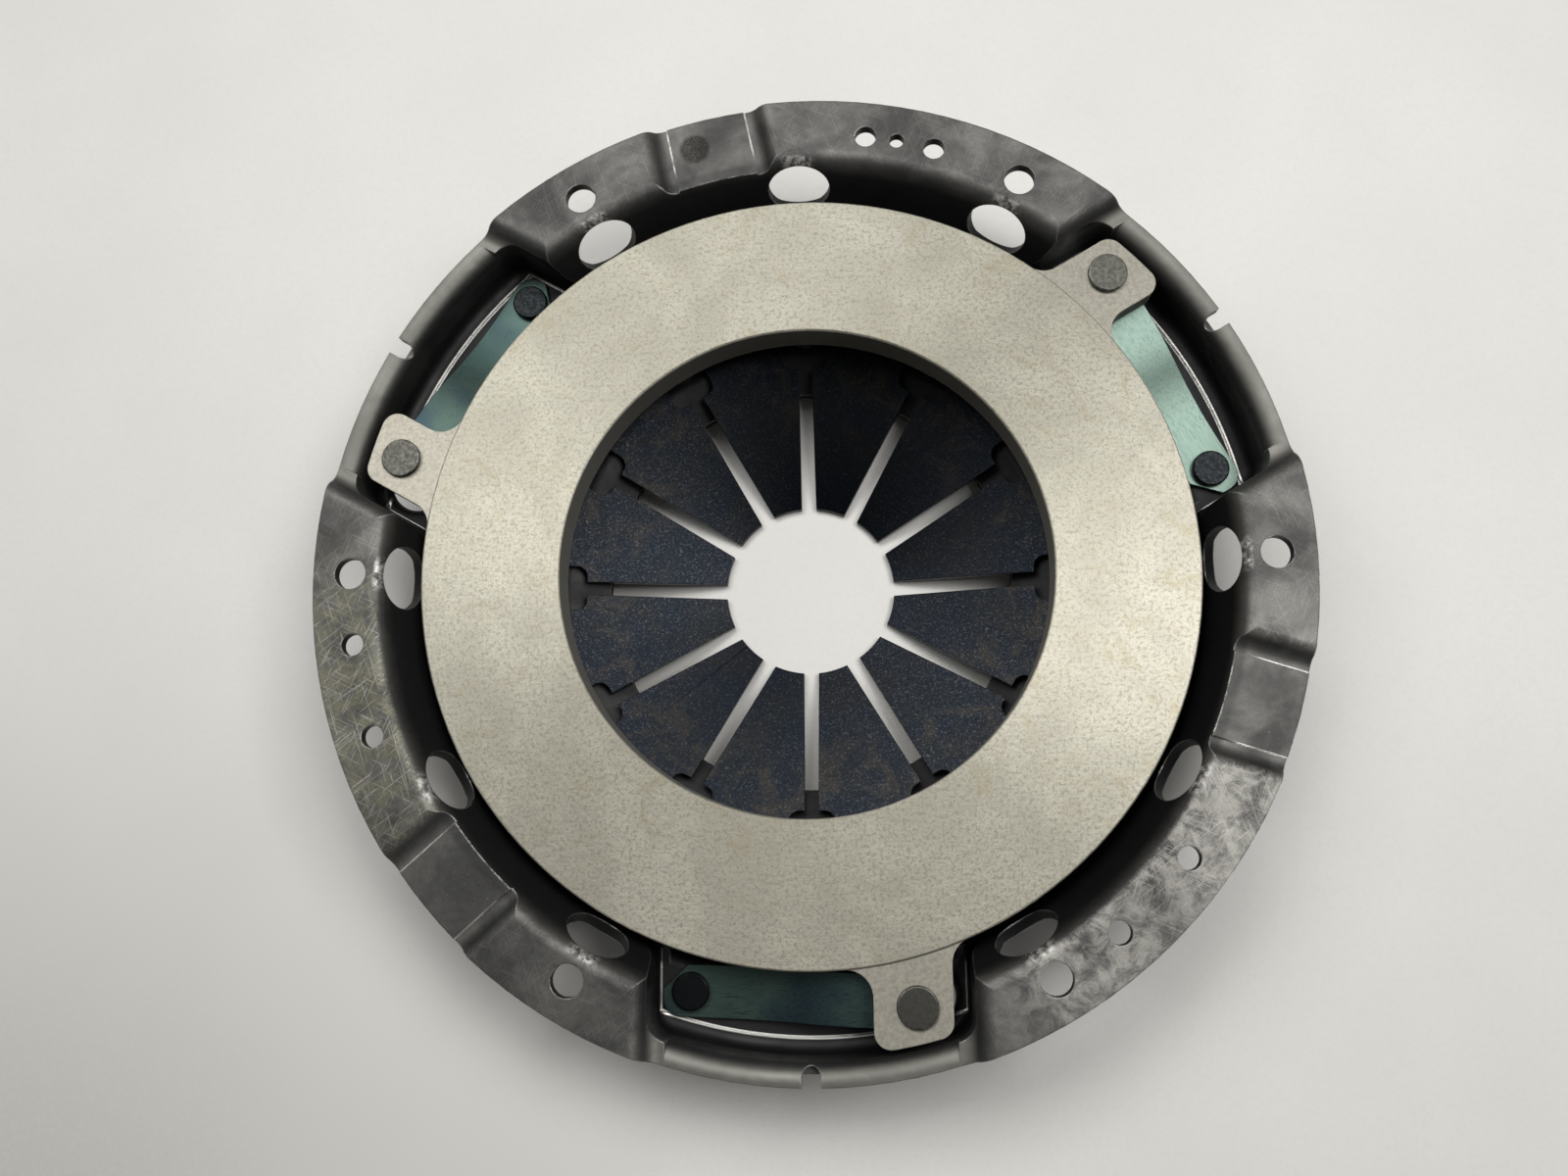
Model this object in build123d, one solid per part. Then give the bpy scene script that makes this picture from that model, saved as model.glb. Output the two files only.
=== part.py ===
from build123d import *
import os
from math import acos, atan, cos, degrees, pi, radians, sin, sqrt, tan

# Clutch pressure plate: diaphragm-spring clutch cover assembly, in its free state.
# Origin: centre of the bolt circle, on the mounting face of the flange.
# +Z points at the flywheel, so everything else lies below. X points at one bolt. Millimetres, degrees.
#
# A "station" is one of the three places where tangential straps join the cover to the plate.
# Station geometry is drawn with the station centre on +X and +Y counterclockwise.

# ---------------------------------------------------------------- driving dimensions: layout
station_count = 3
station_angle = 30.0               # direction of the first station from +X
station_step = 360.0 / station_count
bolt_count = 6
finger_count = 12
straps_per_station = 3             # spring-steel leaves in one pack

# ---------------------------------------------------------------- cover
sheet = 3.2                        # thickness of the pressed steel
bolt_circle_dia = 254.0
bolt_hole_dia = 8.8
rim_margin = 10.6                  # bolt circle to the trimmed edge of the flange
roll_radius = 4.6                  # bend from the flange into the wall, on the flywheel side
wall_margin = 7.5                  # bolt circle in to where the sloping wall would meet the flange face
wall_run = 7.8                     # radial run of the sloping wall, down to the upright lower wall
wall_slope = 61.0                  # slope of the upper wall from the flange plane
dish_corner_radius = 5.0
rim_cone_width = 39.1              # flat part of the bottom; inside it the bottom slopes away from the fingers
rim_cone_slope = 25.0
rim_cone_run = 11.6                # radial run of that slope, in to the central opening
windows_per_station = 3            # oval windows in the sloping wall, between the pockets
window_step = 30.0
window_width = 18.0
window_height = 14.8               # along the wall
window_centre_depth = 8.65         # below the flange face

pocket_half_width = 42.9           # from the station centre to each upright end wall
pocket_ledge = 5.8                 # inside of the outer wall to the trimmed edge
pocket_corner_radius = 6.0
pocket_floor_radius = 3.2
pocket_depth = 22.0                # flange face to pocket floor
lip_drop = 4.7                     # the rim beside a pocket lies this far below the flange face
mouth_radius = 5.0                 # upright edge where a pocket opens out of the dish
seat_depth = 0.9                   # coined strap seat, below the pocket floor
seat_inset = 3.9                   # from the outer wall to the seat's outer edge
seat_end_inset = 0.7               # from an end wall to the seat's end
notch_width = 5.0
notch_length = 5.2                 # from the trimmed edge
notch_depth = 5.0                  # below the lip
shoulder_radius = 4.0              # bend from the strap seat down into the dish

pad_depth = 3.0                    # pressed pads on the flange
pad_width = 23.6
pad_groove_depth = 0.5             # groove along each side of a pad, at the foot of the bend
pad_groove_width = 0.4
pad_offset = 71.5                  # angle from a station to the pad after it

locating_hole_dia = 6.2
locating_hole_offset = 51.0        # angle from a station to its dowel hole
pilot_hole_offset = 39.1
first_pilot_hole_offset = 41.9
gauge_hole_dia = 4.2
gauge_hole_offset = 46.9

# ---------------------------------------------------------------- pressure plate
friction_depth = 5.2               # flange face to friction face, free state
plate_gap = 3.1                    # plate to the upright wall of the dish
friction_width = 39.5              # radial width of the friction face
plate_thickness = 11.6
edge_chamfer = 0.4                 # at both rims of the friction face
ridge_inset = 10.6                 # plate's rim to the annular ridge that the diaphragm spring presses on
ridge_nose_radius = 2.2
ridge_root_width = 9.0
vent_width = 8.0
lug_step = 0.8                     # lug face below the friction face
lug_thickness = 7.0
lug_gap = 1.7                      # lug to the pocket's outer wall
lug_side_near = 16.5               # lug side towards the strap, from the station centre
lug_side_far = 37.4
lug_corner_radius = 4.5
lug_flare_radius = 7.0             # fillet from lug side to ring

# ---------------------------------------------------------------- diaphragm spring
spring_thickness = 2.4
spring_cone_angle = 16.8
spring_overhang = 3.0              # spring's rim beyond the ridge
tip_radius = 25.8
tip_depth = 44.4                   # flange face to the flywheel side of the finger tips
slot_tip_width = 4.6
slot_root_width = 3.9
finger_window_inset = 18.4         # spring's rim to the rounded windows at the slot roots
finger_window_length = 15.65
finger_window_width = 13.4
finger_window_corner = 3.0

# ---------------------------------------------------------------- fulcrum rings and rivets
ring_wire_dia = 4.0
fulcrum_inset = 20.0               # ridge to the circle of the fulcrum rivets
fulcrum_shank_dia = 7.8
fulcrum_head_dia = 13.2
fulcrum_head_height = 1.6
fulcrum_tenon_dia = 6.0
fulcrum_tail_dia = 8.6
fulcrum_tail_height = 2.0

# ---------------------------------------------------------------- straps and their rivets
strap_thickness = 0.6
strap_width = 14.0
strap_end = 7.7                    # leaf end beyond its rivet centre
strap_clamp = 7.0                  # flat length each side of a rivet
strap_corner_cut = 6.8             # long slant on the inner corner of the cover end
strap_corner_cut_depth = 2.2
strap_corner_radius = 2.0
strap_seat_corner_radius = 5.0     # outer corner that keeps clear of the seat's rim
cover_rivet_inset = 7.7            # from the seat's outer edge
cover_rivet_offset = -16.2         # angle from the station centre
cover_rivet_head_dia = 10.3
cover_rivet_head_height = 2.1
lug_rivet_inset = 9.3              # from the lug's outer edge
lug_rivet_offset = 13.4
lug_rivet_head_dia = 11.0
lug_rivet_head_height = 1.7
rivet_shank_dia = 6.8
rivet_tail_dia = 10.4
rivet_tail_height = 2.2
access_hole_dia = 16.4             # in the strap seat, under the lug rivet
access_hole_shift = 3.0            # away from the straps
access_hole_flare = 2.5

# ---------------------------------------------------------------- clearances
seat_gap = 0.03                    # round parts that rest on each other
rivet_fit = 0.1                    # all round a rivet shank
reach = 30.0                       # tools run well past the faces that they cut
overlap = 2.0                      # tools start this far outside the metal
trim = 0.01                        # keeps tangent arcs off a degenerate touch

# ---------------------------------------------------------------- derived places
bolt_radius = bolt_circle_dia / 2
rim_radius = bolt_radius + rim_margin
wall_top_radius = bolt_radius - wall_margin
wall_radius = wall_top_radius - wall_run
rim_cone_radius = wall_radius - rim_cone_width
opening_radius = rim_cone_radius - rim_cone_run
pocket_wall_radius = rim_radius - pocket_ledge
seat_radius = pocket_wall_radius - seat_inset
seat_end = pocket_half_width - seat_end_inset
notch_root_radius = rim_radius - notch_length
cover_rivet_radius = seat_radius - cover_rivet_inset
lug_outer_radius = pocket_wall_radius - lug_gap
lug_rivet_radius = lug_outer_radius - lug_rivet_inset
friction_outer_radius = wall_radius - plate_gap
friction_inner_radius = friction_outer_radius - friction_width
ridge_radius = friction_outer_radius - ridge_inset
spring_outer_radius = ridge_radius + spring_overhang
finger_window_outer = spring_outer_radius - finger_window_inset
finger_window_inner = finger_window_outer - finger_window_length
fulcrum_rivet_circle = ridge_radius - fulcrum_inset
cone = radians(spring_cone_angle)
friction_z = -friction_depth
plate_back_z = friction_z - plate_thickness
lug_top_z = friction_z - lug_step
lug_bottom_z = lug_top_z - lug_thickness
pocket_floor_z = -pocket_depth
seat_z = pocket_floor_z - seat_depth
spring_axial = spring_thickness / cos(cone)
strap_stack = straps_per_station * strap_thickness
strap_rise = lug_bottom_z - strap_stack - seat_z
wire_radius = ring_wire_dia / 2
fulcrum_radius = fulcrum_rivet_circle + fulcrum_shank_dia / 2 + wire_radius + rivet_fit


def spring_top(radius):
    """Height of the flywheel side of the spring at a radius."""
    return -tip_depth + (radius - tip_radius) * tan(cone)


def resting(radius, ball, side):
    """Centre height of a round bead that rests on the spring, from above (+1) or below (-1)."""
    touch = (ball + seat_gap) / cos(cone)
    return spring_top(radius) + touch if side > 0 else spring_top(radius) - spring_axial - touch


dish_z = resting(fulcrum_radius, wire_radius, -1) - wire_radius - seat_gap
dish_bottom_z = dish_z - 4 * sheet


def polar(radius, angle):
    """Point in the XY plane from a radius and an angle in degrees."""
    return (radius * cos(radians(angle)), radius * sin(radians(angle)))


def at(radius, angle, z=0.0):
    """Location at a polar place, turned so that its X points outwards."""
    x, y = polar(radius, angle)
    return Location((x, y, z), (0, 0, angle))


def disc(radius, bottom, top):
    """Upright cylinder on the Z axis between two heights."""
    return Pos(0, 0, bottom) * extrude(Circle(radius), top - bottom)


def block(x_range, y_range, z_range):
    """Box between two places on each axis."""
    (x0, x1), (y0, y1), (z0, z1) = x_range, y_range, z_range
    centre = Pos((x0 + x1) / 2, (y0 + y1) / 2, (z0 + z1) / 2)
    return centre * Box(x1 - x0, y1 - y0, z1 - z0)


def at_stations(shape):
    """Copies of a station's shape at all stations."""
    return [Rot(0, 0, station_angle + station_step * i) * shape for i in range(station_count)]


def export(name, shape):
    """Write one sub-part."""
    shape.label = name
    export_step(shape, f"parts/{name}.step")


# ---------------------------------------------------------------- cover
# The sheet lies between two rooms: the space on its flywheel side, and that same space grown by the
# thickness of the steel. Every pressed form is drawn once and grown for the far side.
def rounded(face, corners):
    """Fillet the named corners of a flat face: {(x, y): radius}."""
    for (x, y), size in corners.items():
        face = fillet(face.vertices().sort_by_distance((x, y, 0))[0], size)
    return face


def grown(face, grow):
    """A room's section, or the section of the same room seen from the far side of the sheet."""
    return offset(face, grow, kind=Kind.ARC) if grow else face


def round_room(grow):
    """Space above the round part of the sheet: flange, sloping wall, dish and inner cone."""
    slope_z = -(wall_top_radius - wall_radius) * tan(radians(wall_slope))
    hub_radius = rim_cone_radius / 2
    hub_z = dish_z - (rim_cone_radius - hub_radius) * tan(radians(rim_cone_slope))
    outline = Polyline(
        (0, reach), (rim_radius + reach, reach), (rim_radius + reach, 0), (wall_top_radius, 0),
        (wall_radius, slope_z), (wall_radius, dish_z), (rim_cone_radius, dish_z),
        (hub_radius, hub_z), (0, hub_z), close=True)
    section = rounded(make_face(outline), {
        (wall_top_radius, 0): roll_radius,
        (wall_radius, slope_z): dish_corner_radius,
        (wall_radius, dish_z): dish_corner_radius,
        (rim_cone_radius, dish_z): roll_radius,
    })
    half = Pos(rim_radius, 0) * Rectangle(2 * rim_radius, 8 * reach)
    return revolve(Plane.XZ * (grown(section, grow) & half), Axis.Z)


def along_x(section, start, end):
    """Extrude a section drawn in Y and Z between two places on X."""
    return Pos(start, 0, 0) * extrude(Plane.YZ * section, end - start)


def bend_run(drop):
    """Width across an S bend that lowers the sheet by a drop."""
    return 2 * roll_radius * sin(acos(1 - drop / (2 * roll_radius)))


def lowered_room(crest, drop, grow):
    """Space over a band lowered across the flange: an S bend down from the flange at each side."""
    top = trim
    bend = acos(1 - (drop + top) / (2 * roll_radius))
    across = roll_radius * sin(bend)
    dip = roll_radius * (1 - cos(bend / 2))
    middle = crest - across
    foot = middle - across

    def side(sign):
        half_way = (sign * middle, (top - drop) / 2)
        upper = ThreePointArc(
            (sign * crest, top), (sign * (crest - roll_radius * sin(bend / 2)), top - dip), half_way)
        lower = ThreePointArc(
            half_way, (sign * (foot + roll_radius * sin(bend / 2)), dip - drop), (sign * foot, -drop))
        return upper + lower

    floor = Line((-foot, -drop), (foot, -drop))
    above = Polyline((-crest, top), (-crest, overlap), (crest, overlap), (crest, top))
    section = make_face(side(1) + side(-1) + floor + above)
    return along_x(grown(section, grow), rim_cone_radius, rim_radius + overlap)


def lip_room(grow):
    """Space over the lowered rim beside a pocket."""
    return lowered_room(pocket_half_width + roll_radius, lip_drop, grow)


def pocket_room(grow):
    """Space in a strap pocket: rounded corners, rounded floor and a mouth that opens into the dish."""
    half = pocket_half_width + grow
    outer = pocket_wall_radius + grow
    inner = wall_radius + grow
    mouth = mouth_radius - grow
    corner = pocket_corner_radius + grow
    plan = Circle(inner) + (Circle(outer) & (Pos(outer / 2, 0) * Rectangle(outer, 2 * half)))
    mouth_x = sqrt(inner ** 2 - half ** 2)
    corner_x = sqrt(outer ** 2 - half ** 2)
    plan = rounded(plan, {
        (mouth_x, half): mouth, (mouth_x, -half): mouth,
        (corner_x, half): corner, (corner_x, -half): corner,
    })
    mouth_end = (half + mouth) * inner / (inner + mouth) - trim
    plan = plan & (Pos(outer, 0) * Rectangle(outer, 2 * mouth_end))
    room = Pos(0, 0, pocket_floor_z - grow) * extrude(plan, grow - pocket_floor_z)
    floor = room.faces().sort_by(Axis.Z)[0]
    rim = [edge for edge in floor.edges() if edge.center().X > mouth_x + overlap]
    return fillet(rim, pocket_floor_radius + grow)


def pad_room(grow):
    """Space over a pressed pad: bends down to a groove at each side, with the flat pad raised between."""
    drop = pad_depth + pad_groove_depth
    half = pad_width / 2
    room = lowered_room(half + pad_groove_width + bend_run(drop), drop, grow)
    if not grow:
        room = room - block((wall_radius, rim_radius + reach), (-half, half), (-2 * drop, -pad_depth))
    return Rot(0, 0, pad_offset) * room


def cover_sheet():
    """The pressed sheet before it is pierced."""
    below = disc(rim_radius, dish_bottom_z, 0)
    rooms = (lip_room, pocket_room, pad_room)
    body = round_room(sheet) & below
    for room in rooms:
        for shape in at_stations(room(sheet) & below):
            body = body + shape
    body = body - round_room(0)
    for room in rooms:
        for shape in at_stations(room(0)):
            body = body - shape
    return body


def turned_bend(radius, z, size, width):
    """Tool that rounds a convex edge lying on a circle, over a width either side of the station."""
    corner = make_face(
        ThreePointArc((radius, z - size),
                      (radius + size * (1 - sqrt(0.5)), z - size * (1 - sqrt(0.5))),
                      (radius + size, z))
        + Polyline((radius + size, z), (radius + size, z + overlap), (radius - overlap, z + overlap),
                   (radius - overlap, z - size), (radius, z - size)))
    return revolve(Plane.XZ * corner, Axis.Z) & block((0, 2 * rim_radius), (-width, width), (-4 * reach, reach))


def seat_cuts():
    """Coined strap seat, the bends beside it, the rim notch and the holes of one station."""
    flat_half = pocket_half_width - pocket_floor_radius
    seat = Circle(seat_radius) & (Pos(seat_radius, 0) * Rectangle(seat_radius, 2 * seat_end))
    cuts = [Pos(0, 0, seat_z) * extrude(seat, seat_depth + pocket_floor_radius)]
    cuts.append(turned_bend(wall_radius, seat_z, shoulder_radius, flat_half))
    lip_half = pocket_half_width - roll_radius
    cuts.append(turned_bend(pocket_wall_radius, -lip_drop, roll_radius, lip_half))

    root = notch_root_radius + notch_width / 2
    notch = Pos(root, 0) * Circle(notch_width / 2) + Pos(root + notch_width, 0) * Rectangle(
        2 * notch_width, notch_width)
    cuts.append(Pos(0, 0, -lip_drop - notch_depth) * extrude(notch, notch_depth + overlap))

    rivet = at(cover_rivet_radius, cover_rivet_offset, seat_z - 2 * sheet)
    cuts.append(rivet * extrude(Circle(rivet_shank_dia / 2 + seat_gap), 3 * sheet))

    lug_x, lug_y = polar(lug_rivet_radius, lug_rivet_offset)
    hole_radius = access_hole_dia / 2
    flare = access_hole_flare
    profile = make_face(
        Polyline((hole_radius, -flare), (hole_radius, -2 * sheet), (0, -2 * sheet), (0, overlap),
                 (hole_radius + flare, overlap), (hole_radius + flare, 0))
        + ThreePointArc((hole_radius + flare, 0),
                        (hole_radius + flare * (1 - sqrt(0.5)), -flare * (1 - sqrt(0.5))),
                        (hole_radius, -flare)))
    access = revolve(Plane.XZ * profile, Axis.Z)
    cuts.append(Pos(lug_x, lug_y + access_hole_shift, seat_z) * access)
    return cuts


def hole(radius, angle, dia, top=0.0):
    """Tool for an upright hole through the sheet below a height."""
    return at(radius, angle, top - 2 * sheet) * extrude(Circle(dia / 2), 2 * sheet + overlap)


def wall_window(angle):
    """Tool for one oval window, punched square to the sloping wall."""
    slope = radians(wall_slope)
    radius = wall_top_radius - window_centre_depth / tan(slope)
    oval = Ellipse(window_width / 2, window_height / 2)
    tilted = Rot(0, 90 + degrees(pi / 2 - slope), 0) * (Rot(0, 0, 90) * extrude(oval, 3 * sheet, both=True))
    return at(radius, angle, -window_centre_depth) * tilted


def cover():
    """Pressed steel cover with its holes."""
    body = cover_sheet()
    cuts = [disc(opening_radius, dish_bottom_z, 0)]
    for cut in seat_cuts():
        cuts += at_stations(cut)
    for i in range(bolt_count):
        cuts.append(hole(bolt_radius, 360 / bolt_count * i, bolt_hole_dia))
    for i in range(station_count):
        station = station_angle + station_step * i
        pilot = first_pilot_hole_offset if i == 0 else pilot_hole_offset
        cuts.append(hole(bolt_radius, station + locating_hole_offset, locating_hole_dia))
        cuts.append(hole(bolt_radius, station + pilot, locating_hole_dia))
        for j in range(windows_per_station):
            cuts.append(wall_window(station + window_step * (j + 1)))
    cuts.append(hole(bolt_radius, station_angle + gauge_hole_offset, gauge_hole_dia))
    for i in range(finger_count):
        cuts.append(hole(fulcrum_rivet_circle, 360 / finger_count * i, fulcrum_tenon_dia + 2 * seat_gap, dish_z))
    for cut in cuts:
        body = body - cut
    return body


# ---------------------------------------------------------------- pressure plate
def plate_section():
    """Half section of the cast ring with its fulcrum ridge."""
    nose_z = resting(ridge_radius, ridge_nose_radius, 1)
    half_root = ridge_root_width / 2
    edge = edge_chamfer
    ring = Polyline(
        (friction_inner_radius + edge, friction_z), (friction_outer_radius - edge, friction_z),
        (friction_outer_radius, friction_z - edge), (friction_outer_radius, plate_back_z),
        (friction_inner_radius, plate_back_z), (friction_inner_radius, friction_z - edge), close=True)
    ridge = Polyline(
        (ridge_radius - half_root, plate_back_z), (ridge_radius + half_root, plate_back_z),
        (ridge_radius + ridge_nose_radius, nose_z), (ridge_radius - ridge_nose_radius, nose_z), close=True)
    return make_face(ring) + make_face(ridge) + Pos(ridge_radius, nose_z) * Circle(ridge_nose_radius)


def lug():
    """One rounded ear of the plate, flared into the ring."""
    ring = Circle(friction_outer_radius)
    x_start = friction_outer_radius / 2
    ear = Circle(lug_outer_radius) & (
        Pos(x_start + lug_outer_radius / 2, (lug_side_near + lug_side_far) / 2)
        * Rectangle(lug_outer_radius, lug_side_far - lug_side_near))
    plan = ring + ear
    corners = {}
    for side in (lug_side_near, lug_side_far):
        corners[(sqrt(lug_outer_radius ** 2 - side ** 2), side)] = lug_corner_radius
        corners[(sqrt(friction_outer_radius ** 2 - side ** 2), side)] = lug_flare_radius
    plan = rounded(plan, corners) - Circle((friction_inner_radius + friction_outer_radius) / 2)
    x, y = polar(lug_rivet_radius, lug_rivet_offset)
    plan = plan - Pos(x, y) * Circle(rivet_shank_dia / 2 + seat_gap)
    return Pos(0, 0, lug_bottom_z) * extrude(plan, lug_thickness)


def pressure_plate():
    """Cast ring: ground friction face, three strap lugs and a vented ridge for the spring."""
    body = revolve(Plane.XZ * plate_section(), Axis.Z)
    for shape in at_stations(lug()):
        body = body + shape
    vent_z = spring_top(ridge_radius)
    for i in range(finger_count):
        angle = 360 / finger_count * i
        vent = block((ridge_radius - ridge_root_width, ridge_radius + ridge_root_width),
                     (-vent_width / 2, vent_width / 2), (vent_z - overlap, plate_back_z))
        body = body - Rot(0, 0, angle) * vent
    return body


# ---------------------------------------------------------------- diaphragm spring
def diaphragm_spring():
    """Coned spring-steel disc, slotted into fingers with a rounded window at each slot root."""
    top_inner = spring_top(tip_radius)
    top_outer = spring_top(spring_outer_radius)
    lean = spring_thickness * sin(cone)
    drop = spring_thickness * cos(cone)
    outline = Polyline(
        (tip_radius, top_inner), (spring_outer_radius - lean, top_outer - lean * tan(cone)),
        (spring_outer_radius, top_outer - lean * tan(cone) - drop), (tip_radius, top_inner - spring_axial),
        close=True)
    body = revolve(Plane.XZ * make_face(outline), Axis.Z)
    z_range = (top_inner - reach, top_outer + reach)
    length = finger_window_inner + overlap - tip_radius / 2
    slot = make_face(Polyline(
        (tip_radius / 2, slot_tip_width / 2), (tip_radius / 2 + length, slot_root_width / 2),
        (tip_radius / 2 + length, -slot_root_width / 2), (tip_radius / 2, -slot_tip_width / 2), close=True))
    window_length = finger_window_outer - finger_window_inner
    window = Pos((finger_window_outer + finger_window_inner) / 2, 0) * RectangleRounded(
        window_length, finger_window_width, finger_window_corner)
    plan = Pos(0, 0, z_range[0]) * extrude(slot + window, z_range[1] - z_range[0])
    for i in range(finger_count):
        body = body - Rot(0, 0, 360 / finger_count * i) * plan
    return body


# ---------------------------------------------------------------- fulcrum
def fulcrum_ring(side):
    """Round wire ring that the spring tilts on."""
    return Pos(0, 0, resting(fulcrum_radius, wire_radius, side)) * Torus(fulcrum_radius, wire_radius)


def fulcrum_rivet(angle):
    """Stepped rivet: head over the wire ring, shank through the spring window, peened tail."""
    head_z = resting(fulcrum_radius, wire_radius, 1) + wire_radius + seat_gap
    shank = Pos(0, 0, dish_z) * extrude(Circle(fulcrum_shank_dia / 2), head_z - dish_z)
    head = Pos(0, 0, head_z) * extrude(Circle(fulcrum_head_dia / 2), fulcrum_head_height)
    head = chamfer(head.edges().sort_by(Axis.Z)[-1], fulcrum_head_height * 0.3)
    tail_z = dish_z - sheet
    tenon = Pos(0, 0, tail_z) * extrude(Circle(fulcrum_tenon_dia / 2), sheet)
    tail = Pos(0, 0, tail_z - fulcrum_tail_height) * extrude(Circle(fulcrum_tail_dia / 2), fulcrum_tail_height)
    tail = chamfer(tail.edges().sort_by(Axis.Z)[0], fulcrum_tail_height * 0.4)
    return at(fulcrum_rivet_circle, angle) * (shank + head + tenon + tail)


# ---------------------------------------------------------------- straps
def strap_frame():
    """Frame of a strap pack: origin on the seat at the cover rivet, X towards the lug rivet."""
    start = Vector(*polar(cover_rivet_radius, cover_rivet_offset), seat_z)
    end = Vector(*polar(lug_rivet_radius, lug_rivet_offset), seat_z)
    return Plane(start, x_dir=end - start, z_dir=(0, 0, 1)), (end - start).length


def strap_curve(offset_z, length):
    """Upper or lower edge of a leaf: flat, S bend, flat. Offsets follow the bend."""
    run = length - 2 * strap_clamp
    turn = 2 * atan(strap_rise / run)
    bend = run / (2 * sin(turn))
    half = turn / 2
    first = bend - offset_z
    second = bend + offset_z
    start = (strap_clamp, offset_z)
    first_mid = (strap_clamp + first * sin(half), bend - first * cos(half))
    middle = (strap_clamp + first * sin(turn), bend - first * cos(turn))
    end_x = length - strap_clamp
    second_mid = (end_x - second * sin(half), strap_rise - bend + second * cos(half))
    end = (end_x, strap_rise + offset_z)
    return (Line((-strap_end, offset_z), start) + ThreePointArc(start, first_mid, middle)
            + ThreePointArc(middle, second_mid, end) + Line(end, (length + strap_end, strap_rise + offset_z)))


def strap_leaf(level):
    """One leaf of a pack, in station coordinates."""
    plane, length = strap_frame()
    low = level * strap_thickness
    high = low + strap_thickness
    left = Line((-strap_end, low), (-strap_end, high))
    right = Line((length + strap_end, strap_rise + low), (length + strap_end, strap_rise + high))
    side = make_face(strap_curve(low, length) + right + strap_curve(high, length) + left)
    bar = extrude(Plane.XZ * side, strap_width / 2, both=True)
    half = strap_width / 2
    x0 = -strap_end
    x1 = length + strap_end
    plan = make_face(Polyline(
        (x0, -half), (x1, -half), (x1, half), (x0 + strap_corner_cut, half),
        (x0, half - strap_corner_cut_depth), close=True))
    plan = rounded(plan, {
        (x0, -half): strap_seat_corner_radius, (x1, -half): strap_corner_radius, (x1, half): strap_corner_radius,
    })
    for x in (0, length):
        plan = plan - Pos(x, 0) * Circle(rivet_shank_dia / 2 + rivet_fit)
    leaf = bar & (Pos(0, 0, -reach) * extrude(plan, 2 * reach))
    return plane.location * leaf


def headed_rivet(head_dia, head_height, grip):
    """Flat-headed rivet standing on its head's seat, with a chamfered tail."""
    head = extrude(Circle(head_dia / 2), head_height)
    head = chamfer(head.edges().sort_by(Axis.Z)[-1], head_height * 0.15)
    shank = Pos(0, 0, -grip) * extrude(Circle(rivet_shank_dia / 2), grip)
    tail = Pos(0, 0, -grip - rivet_tail_height) * extrude(Circle(rivet_tail_dia / 2), rivet_tail_height)
    tail = chamfer(tail.edges().sort_by(Axis.Z)[0], rivet_tail_height * 0.4)
    return head + shank + tail


def strap_cover_rivet():
    """Rivet through a strap pack and the coined seat."""
    rivet = headed_rivet(cover_rivet_head_dia, cover_rivet_head_height, strap_stack + sheet - seat_depth)
    return at(cover_rivet_radius, cover_rivet_offset, seat_z + strap_stack) * rivet


def strap_lug_rivet():
    """Rivet through a lug and the strap pack under it."""
    rivet = headed_rivet(lug_rivet_head_dia, lug_rivet_head_height, lug_thickness + strap_stack)
    return at(lug_rivet_radius, lug_rivet_offset, lug_top_z) * rivet


def main():
    """Build every sub-part and write it to its own file."""
    os.makedirs("parts", exist_ok=True)
    export("cover", cover())
    export("pressure_plate", pressure_plate())
    export("diaphragm_spring", diaphragm_spring())
    export("fulcrum_ring_plate_side", fulcrum_ring(1))
    export("fulcrum_ring_cover_side", fulcrum_ring(-1))
    for i in range(finger_count):
        export(f"fulcrum_rivet_{i + 1:02d}", fulcrum_rivet(360 / finger_count * i))
    for level in range(straps_per_station):
        for i, leaf in enumerate(at_stations(strap_leaf(level))):
            export(f"strap_{i + 1}_leaf_{level + 1}", leaf)
    for i, rivet in enumerate(at_stations(strap_cover_rivet())):
        export(f"strap_cover_rivet_{i + 1}", rivet)
    for i, rivet in enumerate(at_stations(strap_lug_rivet())):
        export(f"strap_lug_rivet_{i + 1}", rivet)


main()
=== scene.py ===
"""Diaphragm-spring clutch cover assembly, dressed for rendering.

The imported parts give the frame. The strap packs and the diaphragm spring, which flex as the plate
slides, are modelled here, every part gets a worked finish, and a floor, lights and a camera are set.
Sizes are in millimetres until a mesh is made; Blender's own units are metres.
"""

import logging
import math
from collections.abc import Callable
from dataclasses import dataclass
from enum import Enum

import bpy
from mathutils import Matrix, Vector

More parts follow.
